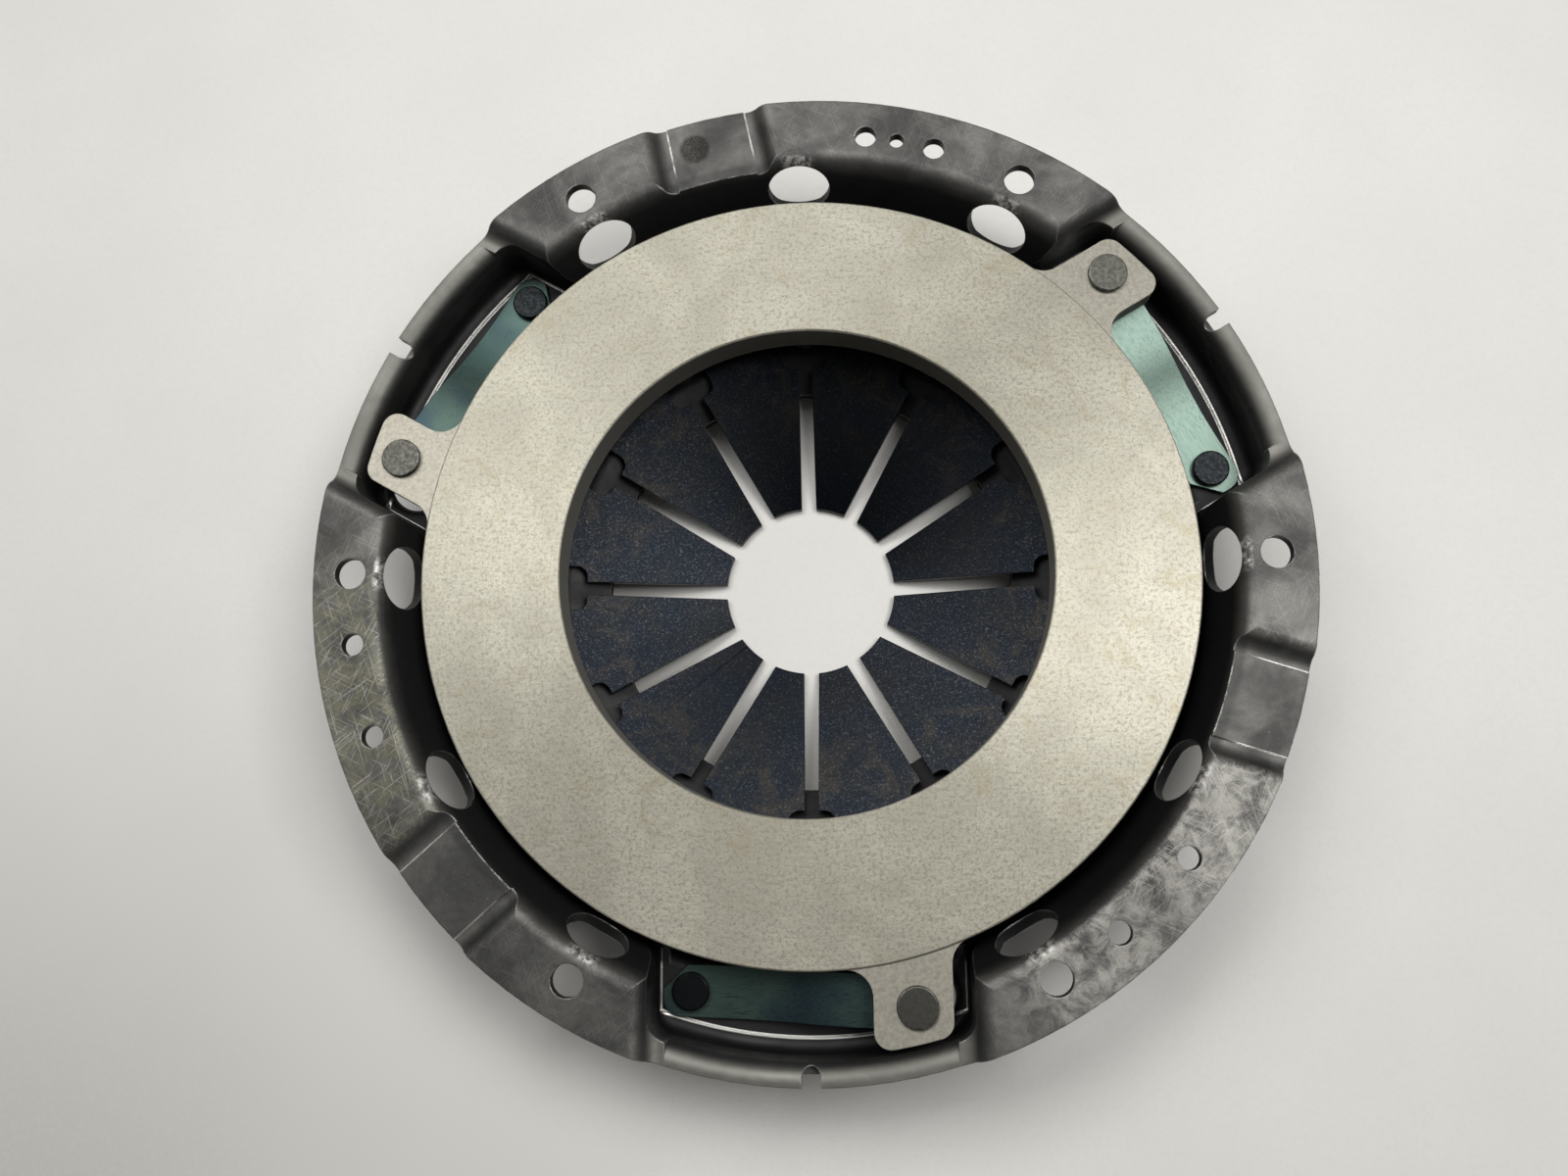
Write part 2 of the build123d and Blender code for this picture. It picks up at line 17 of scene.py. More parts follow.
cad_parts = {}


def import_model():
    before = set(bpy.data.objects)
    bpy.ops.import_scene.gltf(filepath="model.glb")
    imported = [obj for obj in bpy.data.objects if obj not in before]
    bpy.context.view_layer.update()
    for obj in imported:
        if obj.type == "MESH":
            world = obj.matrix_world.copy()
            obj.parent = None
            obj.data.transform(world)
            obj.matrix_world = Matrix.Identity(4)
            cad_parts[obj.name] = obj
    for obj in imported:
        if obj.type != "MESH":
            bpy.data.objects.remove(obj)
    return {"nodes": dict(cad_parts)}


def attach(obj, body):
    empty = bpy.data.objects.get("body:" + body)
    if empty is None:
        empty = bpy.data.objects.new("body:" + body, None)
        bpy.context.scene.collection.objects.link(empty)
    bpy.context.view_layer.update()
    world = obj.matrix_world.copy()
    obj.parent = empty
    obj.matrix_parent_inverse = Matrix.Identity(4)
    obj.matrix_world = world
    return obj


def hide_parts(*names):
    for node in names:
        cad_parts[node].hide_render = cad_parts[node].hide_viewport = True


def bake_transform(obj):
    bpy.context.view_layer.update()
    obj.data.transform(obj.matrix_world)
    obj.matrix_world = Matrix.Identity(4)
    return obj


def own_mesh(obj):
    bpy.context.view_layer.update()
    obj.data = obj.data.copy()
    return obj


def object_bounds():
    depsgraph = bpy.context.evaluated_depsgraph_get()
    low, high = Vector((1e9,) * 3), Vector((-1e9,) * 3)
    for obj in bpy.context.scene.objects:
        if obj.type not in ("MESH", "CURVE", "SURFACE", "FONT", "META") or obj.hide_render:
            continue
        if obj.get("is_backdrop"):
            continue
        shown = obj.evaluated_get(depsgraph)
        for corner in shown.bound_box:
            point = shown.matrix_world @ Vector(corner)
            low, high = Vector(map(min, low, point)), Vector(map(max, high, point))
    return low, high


LOG = logging.getLogger("clutch_cover")
MM = 0.001
STATION_COUNT = 3
STATION_STEP = 360 / STATION_COUNT
FIRST_STATION = 30.0

Socket = bpy.types.NodeSocket
Node = bpy.types.Node
Tree = bpy.types.NodeTree
Piece = bpy.types.Object
Value = Socket | float | tuple
Coat = tuple[Value, Value, Socket]


class Body(Enum):
    """Bodies of the mechanism."""

    COVER = "cover"
    PLATE = "pressure_plate"


class Slot(Enum):
    """Material slots of the record."""

    COVER = "cover_steel"
    PLATE = "plate_iron"
    SPRING = "spring_steel"
    WIRE = "ring_wire"
    FULCRUM_RIVET = "fulcrum_rivet_steel"
    STRAP = "strap_steel"
    COVER_RIVET = "cover_rivet_black"
    LUG_RIVET = "lug_rivet_steel"


def polar(radius: float, angle: float, height: float = 0.0) -> Vector:
    """Point at a radius and an angle in degrees."""
    turn = math.radians(angle)
    return Vector((radius * math.cos(turn), radius * math.sin(turn), height))


# ---------------- node building
class Graph:
    """Adds nodes to one tree with short calls."""

    def __init__(self, tree: Tree) -> None:
        """Keeps the tree that nodes go to."""
        self.tree = tree

    def node(self, kind: str, **settings: object) -> Node:
        """Adds a node and sets its options."""
        made = self.tree.nodes.new(kind)
        for name, value in settings.items():
            setattr(made, name, value)
        return made

    def feed(self, socket: Socket, value: Value) -> None:
        """Links a socket to another one, or sets its own value."""
        if isinstance(value, bpy.types.NodeSocket):
            self.tree.links.new(value, socket)
        elif isinstance(value, tuple) and len(value) == 3 and socket.type == "RGBA":
            socket.default_value = (*value, 1.0)
        else:
            socket.default_value = value

    def math(self, operation: str, *values: Value) -> Socket:
        """Adds a Math node and returns its result."""
        made = self.node("ShaderNodeMath", operation=operation)
        for socket, value in zip(made.inputs, values):
            self.feed(socket, value)
        return made.outputs[0]

    def times(self, first: Value, *others: Value) -> Socket:
        """Multiplies values."""
        for other in others:
            first = self.math("MULTIPLY", first, other)
        return first

    def most(self, first: Value, *others: Value) -> Socket:
        """Returns the largest of some values."""
        for other in others:
            first = self.math("MAXIMUM", first, other)
        return first

    def plus(self, first: Value, second: Value) -> Socket:
        """Adds two values."""
        return self.math("ADD", first, second)

    def minus(self, first: Value, second: Value) -> Socket:
        """Takes the second value from the first."""
        return self.math("SUBTRACT", first, second)

    def over(self, first: Value, second: Value) -> Socket:
        """Divides the first value by the second."""
        return self.math("DIVIDE", first, second)

    def vector(self, operation: str, first: Value, second: Value = (0.0, 0.0, 0.0)) -> Socket:
        """Adds a Vector Math node and returns its result."""
        made = self.node("ShaderNodeVectorMath", operation=operation)
        self.feed(made.inputs[0], first)
        self.feed(made.inputs[1], second)
        return made.outputs["Value" if operation in ("LENGTH", "DOT_PRODUCT") else "Vector"]

    def scaled(self, vector: Value, factor: Value) -> Socket:
        """Scales a vector."""
        made = self.node("ShaderNodeVectorMath", operation="SCALE")
        self.feed(made.inputs[0], vector)
        self.feed(made.inputs["Scale"], factor)
        return made.outputs["Vector"]

    def split(self, vector: Value) -> tuple[Socket, Socket, Socket]:
        """Returns a vector's three parts."""
        made = self.node("ShaderNodeSeparateXYZ")
        self.feed(made.inputs[0], vector)
        return made.outputs[0], made.outputs[1], made.outputs[2]

    def join(self, x: Value, y: Value, z: Value) -> Socket:
        """Makes a vector of three parts."""
        made = self.node("ShaderNodeCombineXYZ")
        for socket, value in zip(made.inputs, (x, y, z)):
            self.feed(socket, value)
        return made.outputs[0]

    def noise(self, vector: Value, scale: float, detail: float = 2.0, roughness: float = 0.5,
              distortion: float = 0.0) -> Socket:
        """Adds a Noise Texture.

        Args:
            vector: The place.
            scale: How many of its widest spots lie in a unit of the place.
            detail: How many finer layers it has.
            roughness: How much the finer layers show.
            distortion: How far it is warped.

        Returns:
            The noise, about 0.5.
        """
        made = self.node("ShaderNodeTexNoise")
        self.feed(made.inputs["Vector"], vector)
        self.feed(made.inputs["Scale"], scale)
        self.feed(made.inputs["Detail"], detail)
        self.feed(made.inputs["Roughness"], roughness)
        self.feed(made.inputs["Distortion"], distortion)
        return made.outputs[0]

    def ramp(self, value: Value, low: float, high: float, to_low: float = 0.0,
             to_high: float = 1.0) -> Socket:
        """Maps a range smoothly onto another, held at its ends.

        Args:
            value: The value to map.
            low: The range's start.
            high: The range's end, which may be lower than its start.
            to_low: What the start becomes.
            to_high: What the end becomes.

        Returns:
            The mapped value.
        """
        made = self.node("ShaderNodeMapRange", interpolation_type="SMOOTHSTEP")
        ends = {"Value": value, "From Min": low, "From Max": high, "To Min": to_low, "To Max": to_high}
        for name, number in ends.items():
            self.feed(made.inputs[name], number)
        return made.outputs["Result"]

    def mix(self, factor: Value, first: Value, second: Value) -> Socket:
        """Mixes two colours."""
        made = self.node("ShaderNodeMix", data_type="RGBA")
        self.feed(made.inputs["Factor"], factor)
        self.feed(made.inputs[6], first)
        self.feed(made.inputs[7], second)
        return made.outputs[2]

    def bump(self, value: Value, distance: float, normal: Socket | None = None,
             strength: float = 1.0) -> Socket:
        """Adds a Bump node.

        Args:
            value: The height, from 0 to 1.
            distance: The height of 1, in millimetres.
            normal: The normal that it is added to, where it isn't the surface's own.
            strength: The share of the bump that shows.

        Returns:
            The new normal.
        """
        made = self.node("ShaderNodeBump")
        self.feed(made.inputs["Height"], value)
        self.feed(made.inputs["Distance"], distance * MM)
        self.feed(made.inputs["Strength"], strength)
        if normal is not None:
            self.feed(made.inputs["Normal"], normal)
        return made.outputs[0]


class Effects:
    """Node groups that several finishes share, each built once. Sockets not named in vectors hold numbers."""

    vectors = ("Vector", "Place", "Local", "Middle", "Normal")

    def __init__(self) -> None:
        """Builds the groups."""
        self.groups: dict[str, Tree] = {}
        self._group("station_frame", self._station, ("Vector",),
                    ("Place", "Local", "Radius", "Turn", "Height", "Angle"))
        self._group("band", self._band, ("Value", "Centre", "Half Width", "Edge"), ("Mask",))
        self._group("spot", self._spot, ("Place", "Middle", "Radius", "Edge"), ("Mask",))
        self._group("brushed", self._brushed, ("Vector", "Pitch", "Stretch"), ("Value",))
        self._group("scuffs", self._scuffs, ("Vector", "Length", "Density"), ("Mask",))
        self._group("worn_edge", self._worn_edge, ("Place", "Width", "Amount"), ("Mask", "Normal"))

    def _group(self, name: str, draw: Callable, inputs: tuple, outputs: tuple) -> None:
        """Builds a node group.

        Args:
            name: The group's name.
            draw: The method that adds its nodes and returns what its outputs say.
            inputs: The names of its inputs.
            outputs: The names of its outputs.
        """
        tree = bpy.data.node_groups.new(name, "ShaderNodeTree")
        for titles, side in ((inputs, "INPUT"), (outputs, "OUTPUT")):
            for title in titles:
                kind = "Vector" if title in self.vectors else "Float"
                tree.interface.new_socket(title, in_out=side, socket_type=f"NodeSocket{kind}")
        graph = Graph(tree)
        given = graph.node("NodeGroupInput").outputs
        end = graph.node("NodeGroupOutput")
        for title, result in zip(outputs, draw(graph, given)):
            graph.feed(end.inputs[title], result)
        self.groups[name] = tree

    @staticmethod
    def _station(graph: Graph, given: dict) -> tuple:
        """Turns object coordinates into millimetres and into the frame of the nearest strap station."""
        place = graph.scaled(given["Vector"], 1 / MM)
        x, y, z = graph.split(place)
        radius = graph.math("SQRT", graph.plus(graph.times(x, x), graph.times(y, y)))
        angle = graph.math("DEGREES", graph.math("ARCTAN2", y, x))
        turned = graph.plus(angle, 360 - FIRST_STATION + STATION_STEP / 2)
        turn = graph.minus(graph.math("MODULO", turned, STATION_STEP), STATION_STEP / 2)
        radians = graph.math("RADIANS", turn)
        local_x = graph.times(radius, graph.math("COSINE", radians))
        local_y = graph.times(radius, graph.math("SINE", radians))
        return place, graph.join(local_x, local_y, z), radius, turn, z, angle

    @staticmethod
    def _band(graph: Graph, given: dict) -> tuple:
        """Mask of a band of values with soft edges."""
        away = graph.math("ABSOLUTE", graph.minus(given["Value"], given["Centre"]))
        past = graph.over(graph.minus(away, given["Half Width"]), given["Edge"])
        return (graph.ramp(past, 0.0, 1.0, 1.0, 0.0),)

    @staticmethod
    def _spot(graph: Graph, given: dict) -> tuple:
        """Mask of a soft round spot in plan."""
        apart = graph.vector("SUBTRACT", given["Place"], given["Middle"])
        away = graph.vector("LENGTH", graph.vector("MULTIPLY", apart, (1.0, 1.0, 0.0)))
        past = graph.over(graph.minus(away, given["Radius"]), given["Edge"])
        return (graph.ramp(past, 0.0, 1.0, 1.0, 0.0),)

    @staticmethod
    def _brushed(graph: Graph, given: dict) -> tuple:
        """Fine straight lines along the vector's X, of a given pitch and length, as a value about 0.5."""
        x, y, z = graph.split(given["Vector"])
        line = graph.join(graph.over(x, given["Stretch"]), y, z)
        return (graph.noise(graph.scaled(line, graph.over(1.0, given["Pitch"])), 1.0, 3.0, 0.62),)

    @staticmethod
    def _scuffs(graph: Graph, given: dict) -> tuple:
        """Thin straight scratches in several directions, as a mask. More Density gives more of them."""
        thinness = 2.6
        directions = ((24.0, 3.1), (71.0, 11.7), (-38.0, 27.3), (112.0, 41.9))
        edge = graph.minus(0.80, graph.times(given["Density"], 0.2))
        masks = []
        for turn, shift in directions:
            turned = graph.node("ShaderNodeVectorRotate", rotation_type="Z_AXIS")
            graph.feed(turned.inputs["Vector"], given["Vector"])
            graph.feed(turned.inputs["Angle"], math.radians(turn))
            x, y, z = graph.split(turned.outputs[0])
            along = graph.plus(graph.over(x, given["Length"]), shift)
            line = graph.join(along, graph.times(y, thinness), graph.plus(z, shift))
            masks.append(graph.ramp(graph.minus(graph.noise(line, 1.0, 1.0, 0.5), edge), 0.0, 0.05))
        return (graph.most(*masks),)

    @staticmethod
    def _worn_edge(graph: Graph, given: dict) -> tuple:
        """Mask along sharp edges, broken up by a noise, and the rounded normal there."""
        rounded = graph.node("ShaderNodeBevel", samples=4)
        graph.feed(rounded.inputs["Radius"], graph.times(given["Width"], MM))
        own = graph.node("ShaderNodeNewGeometry").outputs["Normal"]
        edge = graph.ramp(graph.vector("DOT_PRODUCT", rounded.outputs[0], own), 0.995, 0.86)
        broken = graph.ramp(graph.noise(given["Place"], 0.45, 3.0, 0.6), 0.32, 0.6, 0.15, 1.0)
        return graph.times(edge, broken, given["Amount"]), rounded.outputs[0]


class Painter(Graph):
    """Graph of one material, which places the shared groups at its own place on the part."""

    def __init__(self, tree: Tree, groups: dict[str, Tree]) -> None:
        """Keeps the tree and the groups, and finds the place in millimetres and at the nearest station."""
        super().__init__(tree)
        self.groups = groups
        coordinates = self.node("ShaderNodeTexCoord").outputs["Object"]
        frame = self.place("station_frame", Vector=coordinates).outputs
        self.at, self.local, self.radius = frame["Place"], frame["Local"], frame["Radius"]
        self.turn, self.level, self.angle = frame["Turn"], frame["Height"], frame["Angle"]

    def place(self, name: str, **inputs: Value) -> Node:
        """Places a shared group. Underscores in the names of its inputs stand for spaces."""
        made = self.node("ShaderNodeGroup", node_tree=self.groups[name])
        for title, value in inputs.items():
            self.feed(made.inputs[title.replace("_", " ")], value)
        return made

    def band(self, value: Value, centre: float, half_width: float, edge: float) -> Socket:
        """Masks a band of values.

        Args:
            value: The value.
            centre: The band's middle.
            half_width: Half of its full part.
            edge: The width of each soft edge.

        Returns:
            The mask.
        """
        return self.place("band", Value=value, Centre=centre, Half_Width=half_width, Edge=edge).outputs[0]

    def spot(self, centre: tuple, radius: float, edge: float) -> Socket:
        """Masks a round spot in plan by its middle, the radius of its full part and its soft edge."""
        middle = (*centre, 0.0)
        return self.place("spot", Place=self.at, Middle=middle, Radius=radius, Edge=edge).outputs[0]

    def lines(self, vector: Socket, pitch: float, stretch: float) -> Socket:
        """Returns fine lines along the vector's X, of a pitch and a stretch."""
        return self.place("brushed", Vector=vector, Pitch=pitch, Stretch=stretch).outputs[0]

    def scuffs(self, length: float, density: float) -> Socket:
        """Masks thin scratches of a length and a density."""
        return self.place("scuffs", Vector=self.at, Length=length, Density=density).outputs[0]

    def wear(self, colour: Value, tone: tuple, width: float, amount: float) -> tuple[Socket, Socket, Socket]:
        """Wears the edges.

        Args:
            colour: The colour so far.
            tone: The colour of worn edges.
            width: How far from an edge it is worn.
            amount: The strongest share of wear.

        Returns:
            The new colour, the mask of the edges and the rounded normal there.
        """
        mask, rounded = self.place("worn_edge", Place=self.at, Width=width, Amount=amount).outputs
        return self.mix(mask, colour, tone), mask, rounded


# ---------------- finishes
@dataclass(frozen=True)
class Finish:
    """A finish: its name and the values that are the same all over it."""

    name: str
    metallic: float = 1.0
    anisotropic: float = 0.0
    edge_width: float = 0.35

    def build(self, effects: Effects) -> bpy.types.Material:
        """Makes the material.

        Args:
            effects: The shared node groups.

        Returns:
            The finished material.
        """
        material = bpy.data.materials.new(self.name)
        material.use_nodes = True
        paint = Painter(material.node_tree, effects.groups)
        shader = next(n for n in material.node_tree.nodes if n.type == "BSDF_PRINCIPLED")
        shader.inputs["Metallic"].default_value = self.metallic
        shader.inputs["Anisotropic"].default_value = self.anisotropic
        colour, roughness, normal = self.surface(paint)
        paint.feed(shader.inputs["Base Color"], colour)
        paint.feed(shader.inputs["Roughness"], roughness)
        paint.feed(shader.inputs["Normal"], normal)
        if self.anisotropic:
            tangent = paint.node("ShaderNodeTangent", direction_type="RADIAL", axis="Z")
            paint.feed(shader.inputs["Tangent"], tangent.outputs[0])
            shader.inputs["Anisotropic Rotation"].default_value = 0.25
        return material

    def surface(self, paint: Painter) -> Coat:
        """Draws the pattern.

        Args:
            paint: The graph of the material.

        Returns:
            The colour, the roughness and the normal.
        """
        raise NotImplementedError


@dataclass(frozen=True)
class PressedSteel(Finish):
    """Satin dark pressed steel with scuffed flange, painted shade in the recesses, bright worn edges, and
    lighter patches and bright lines that are partly painted highlight.
    """

    edge_width: float = 0.6
    dark: tuple = (0.064, 0.063, 0.061)
    light: tuple = (0.150, 0.147, 0.136)
    pale: tuple = (0.46, 0.445, 0.40)
    lip: tuple = (0.215, 0.21, 0.185)
    bare_and_highlight: tuple = (0.72, 0.71, 0.67)
    tan: tuple = (0.19, 0.185, 0.125)
    painted_shade: tuple = (0.020, 0.020, 0.021)
    burnt: tuple = (0.016, 0.013, 0.010)
    burn_place: tuple = tuple(polar(129.2, 103.6))[:2]
    tan_place: tuple = (-124.0, -38.0)
    sheen_and_wear_place: tuple = (112.0, -62.0)
    lower_sheen_and_wear_place: tuple = (76.0, -108.0)
    lip_height: float = -4.9
    lip_radii: tuple = (128.0, 133.0)
    wall_heights: tuple = (-0.8, -5.5)
    wall_radii: tuple = (121.6, 119.6)
    pocket_heights: tuple = (-7.0, -14.0)
    pocket_radii: tuple = (134.6, 132.4)
    seat_height: float = -22.3
    seat_radius: float = 128.0
    seat_inner_radii: tuple = (115.0, 116.5)
    seat_half_width: float = 42.3
    pad_turn: float = -48.5
    pad_half_width: float = 11.8
    pad_heights: tuple = (-4.2, -3.6)
    pad_radii: tuple = (121.0, 126.0)
    roll_height: float = -1.5
    roll_radii: tuple = (121.5, 120.5)
    window_step: float = 30.0
    window_radius: float = 118.6
    window_turns: tuple = (14.0, 16.0)

    def surface(self, paint: Painter) -> Coat:
        """Draws clouded steel with its rubs, lips, painted shade in the recesses, heat mark and bright lines
        that are partly painted highlight.
        """
        place, radius, height = paint.at, paint.radius, paint.level
        fine = paint.noise(place, 1.6, 4.0, 0.72)
        cloud = paint.noise(place, 0.05, 4.0, 0.6, 0.4)
        colour = paint.mix(paint.ramp(cloud, 0.32, 0.70), self.dark, self.light)
        colour, scratched = self._rubs(paint, fine, colour)
        colour = paint.mix(paint.ramp(fine, 0.40, 0.66, 0.0, 0.42), colour, self.dark)
        colour = paint.mix(paint.ramp(fine, 0.58, 0.74, 0.0, 0.30), colour, self.pale)
        lip = paint.band(height, self.lip_height, 0.5, 1.6)
        lip = paint.times(lip, paint.ramp(radius, *self.lip_radii), 0.7)
        colour = paint.mix(lip, colour, self.lip)
        # Painted shade: the dish wall and pockets are darkened, a little less towards one side.
        colour = paint.mix(self._painted_recess_shade(paint), colour, self.painted_shade)
        burn = paint.spot(self.burn_place, 3.6, 1.6)
        colour = paint.mix(paint.times(burn, paint.ramp(fine, 0.30, 0.62, 1.0, 0.55)), colour, self.burnt)
        # Bright lines at the seat rims, pad creases and window rolls: painted highlight, partly on burnished
        # steel.
        highlight_and_wear_lines = self._bright_lines(paint)
        colour = paint.mix(highlight_and_wear_lines, colour, self.bare_and_highlight)
        colour, edge, rounded = paint.wear(colour, self.bare_and_highlight, self.edge_width, 0.75)
        roughness = paint.ramp(cloud, 0.3, 0.7, 0.60, 0.50)
        roughness = paint.minus(roughness, paint.times(paint.most(highlight_and_wear_lines, edge), 0.2))
        waves = paint.bump(paint.noise(place, 0.11, 2.0, 0.5), 0.35, rounded)
        normal = paint.bump(paint.plus(fine, paint.times(scratched, -0.4)), 0.03, waves)
        return colour, roughness, normal

    def _painted_recess_shade(self, paint: Painter) -> Socket:
        """Mask of the painted shade on the dish wall and in the pockets, a little less at one side."""
        ranges = ((self.wall_heights, self.wall_radii), (self.pocket_heights, self.pocket_radii))
        wall, pocket = (paint.times(paint.ramp(paint.level, *heights), paint.ramp(paint.radius, *radii))
                        for heights, radii in ranges)
        share = paint.ramp(paint.split(paint.at)[0], -110.0, 40.0, 0.80, 0.96)
        return paint.times(paint.most(wall, pocket), share)

    def _rubs(self, paint: Painter, fine: Socket, colour: Socket) -> tuple[Socket, Socket]:
        """Lays a rubbed tan patch, paler patches that are worn steel with painted highlight, and fine
        scratches on the flange.

        Args:
            paint: The graph of the material.
            fine: The fine noise.
            colour: The colour so far.

        Returns:
            The new colour and the mask of the scratches.
        """
        place = paint.at
        flange = paint.band(paint.level, 0.0, 0.25, 1.2)
        tan = paint.spot(self.tan_place, 16.0, 42.0)
        # The paler spots towards the lower right are painted highlight on worn steel.
        pale = paint.spot(self.sheen_and_wear_place, 24.0, 30.0)
        lower = paint.spot(self.lower_sheen_and_wear_place, 10.0, 26.0)
        patch = paint.ramp(paint.noise(place, 0.16, 5.0, 0.72, 0.6), 0.36, 0.62)
        paler = paint.times(paint.most(pale, lower), paint.ramp(fine, 0.35, 0.60, 0.35, 0.95))
        colour = paint.mix(paint.times(paler, flange, patch), colour, self.pale)
        colour = paint.mix(paint.times(tan, flange, patch, 0.8), colour, self.tan)
        density = paint.plus(paint.times(paint.most(tan, pale), 0.42), 0.10)
        scratched = paint.times(paint.scuffs(11.0, 0.8), density, flange)
        return paint.mix(scratched, colour, self.pale), scratched

    def _bright_lines(self, paint: Painter) -> Socket:
        """Mask of the bright lines at the coined seats, at the pads and above the windows, partly burnished
        and rubbed steel, partly painted highlight.
        """
        seat = self._seat_lines(paint)
        return paint.most(seat, self._pad_lines(paint), self._window_sheen_and_rubs(paint))

    def _seat_lines(self, paint: Painter) -> Socket:
        """Mask of the coined seats' rims, outside and at both ends: burnished steel with a painted highlight.
        """
        radius = paint.radius
        along = paint.math("ABSOLUTE", paint.split(paint.local)[1])
        outer = paint.band(radius, self.seat_radius, 0.25, 0.3)
        outer = paint.times(outer, paint.ramp(along, self.seat_half_width + 0.3, self.seat_half_width - 0.1))
        end = paint.band(along, self.seat_half_width, 0.22, 0.3)
        within = paint.times(paint.ramp(radius, self.seat_radius + 0.4, self.seat_radius),
                             paint.ramp(radius, *self.seat_inner_radii))
        low = paint.band(paint.level, self.seat_height, 0.9, 0.5)
        return paint.times(paint.most(outer, paint.times(end, within)), low, 0.95)

    def _pad_lines(self, paint: Painter) -> Socket:
        """Mask of the painted highlight along the creases at both sides of each pad."""
        from_pad = paint.math("RADIANS", paint.minus(paint.turn, self.pad_turn))
        across = paint.math("ABSOLUTE", paint.times(paint.radius, paint.math("SINE", from_pad)))
        crease = paint.band(across, self.pad_half_width, 0.12, 0.2)
        outside = paint.ramp(paint.radius, *self.pad_radii)
        above = paint.ramp(paint.level, *self.pad_heights)
        broken = paint.ramp(paint.noise(paint.at, 0.3), 0.3, 0.55, 0.35, 0.95)
        return paint.times(crease, outside, above, broken)

    def _window_sheen_and_rubs(self, paint: Painter) -> Socket:
        """Mask of the broken bright patches on the roll above each window: rubs and painted highlight."""
        half_step = self.window_step / 2
        step = paint.math("MODULO", paint.plus(paint.turn, 360.0 + half_step), self.window_step)
        aside = paint.times(paint.minus(step, half_step), math.radians(self.window_radius))
        near = paint.band(aside, 0.0, 2.0, 3.5)
        roll = paint.band(paint.level, self.roll_height, 0.5, 1.0)
        away = paint.ramp(paint.math("ABSOLUTE", paint.turn), *self.window_turns)
        broken = paint.ramp(paint.noise(paint.at, 0.7, 3.0, 0.6), 0.40, 0.62, 0.0, 0.8)
        inside = paint.ramp(paint.radius, *self.roll_radii)
        return paint.times(near, roll, away, broken, inside)


@dataclass(frozen=True)
class GroundIron(Finish):
    """Cast iron with a ground friction face, machined lugs and a dark bore."""

    face: tuple = (0.52, 0.497, 0.415)
    face_dark: tuple = (0.265, 0.25, 0.20)
    stain: tuple = (0.35, 0.305, 0.20)
    lug: tuple = (0.39, 0.37, 0.31)
    lug_dark: tuple = (0.28, 0.262, 0.22)
    skin: tuple = (0.10, 0.097, 0.085)
    pit: tuple = (0.15, 0.135, 0.10)
    face_radius: float = 108.6
    bore_heights: tuple = (-5.7, -6.3)
    skin_heights: tuple = (-6.5, -7.2)

    def surface(self, paint: Painter) -> Coat:
        """Draws the ground face with its grain, stains and pits, then the lugs and the unground skin."""
        place, radius, height = paint.at, paint.radius, paint.level
        rings = paint.join(paint.times(paint.angle, 0.05), radius, 0.0)
        turned = paint.lines(rings, 0.40, 1.0)
        cross = paint.lines(place, 0.6, 8.0)
        grain = paint.plus(paint.times(turned, 0.5), paint.times(cross, 0.5))
        cloud = paint.noise(place, 0.028, 5.0, 0.62, 0.5)
        speckle = paint.noise(place, 0.95, 5.0, 0.80)
        colour = paint.mix(paint.ramp(cloud, 0.34, 0.68), self.face_dark, self.face)
        colour = paint.mix(0.55, colour, self.face)
        colour = paint.mix(paint.ramp(grain, 0.42, 0.60, 0.34, 0.0), colour, self.face_dark)
        stains = paint.ramp(paint.noise(place, 0.05, 6.0, 0.72, 1.8), 0.53, 0.70, 0.0, 0.65)
        colour = paint.mix(stains, colour, self.stain)
        colour = paint.mix(paint.ramp(speckle, 0.40, 0.54, 0.85, 0.0), colour, self.face_dark)
        colour = paint.mix(paint.ramp(speckle, 0.57, 0.66, 0.0, 0.65), colour, self.pit)
        lug_colour = paint.mix(paint.ramp(speckle, 0.38, 0.66), self.lug, self.lug_dark)
        outside = paint.ramp(radius, self.face_radius - 0.05, self.face_radius + 0.05)
        colour = paint.mix(outside, colour, lug_colour)
        inner = paint.ramp(radius, self.face_radius - 0.1, self.face_radius - 0.3)
        bored = paint.times(paint.ramp(height, *self.bore_heights), inner)
        colour = paint.mix(paint.most(bored, paint.ramp(height, *self.skin_heights)), colour, self.skin)
        colour, _, rounded = paint.wear(colour, self.face, self.edge_width, 0.5)
        roughness = paint.plus(paint.ramp(grain, 0.35, 0.65, 0.43, 0.50), paint.times(bored, 0.15))
        normal = paint.bump(paint.plus(grain, paint.times(speckle, 0.6)), 0.02, rounded)
        return colour, roughness, normal


@dataclass(frozen=True)
class PeenedSpring(Finish):
    """Blue-black spring steel with a shot-peened grain."""

    base: tuple = (0.0095, 0.0105, 0.012)
    blue: tuple = (0.0078, 0.0098, 0.0132)
    brown: tuple = (0.024, 0.021, 0.017)
    grey: tuple = (0.055, 0.056, 0.056)
    brown_radii: tuple = (38.0, 62.0)

    def surface(self, paint: Painter) -> Coat:
        """Draws clouded steel with brown tints towards the rim and pale peened dots."""
        place = paint.at
        cloud = paint.noise(place, 0.05, 4.0, 0.6, 0.6)
        colour = paint.mix(paint.ramp(cloud, 0.35, 0.65), self.base, self.blue)
        tint = paint.ramp(paint.noise(place, 0.09, 5.0, 0.7, 0.8), 0.46, 0.66, 0.0, 0.6)
        colour = paint.mix(paint.times(paint.ramp(paint.radius, *self.brown_radii), tint), colour, self.brown)
        dots = paint.noise(place, 1.5, 4.0, 0.8)
        colour = paint.mix(paint.ramp(dots, 0.52, 0.70, 0.0, 0.6), colour, self.grey)
        colour, _, rounded = paint.wear(colour, self.grey, self.edge_width, 0.35)
        return colour, paint.ramp(dots, 0.35, 0.7, 0.37, 0.29), paint.bump(dots, 0.05, rounded)


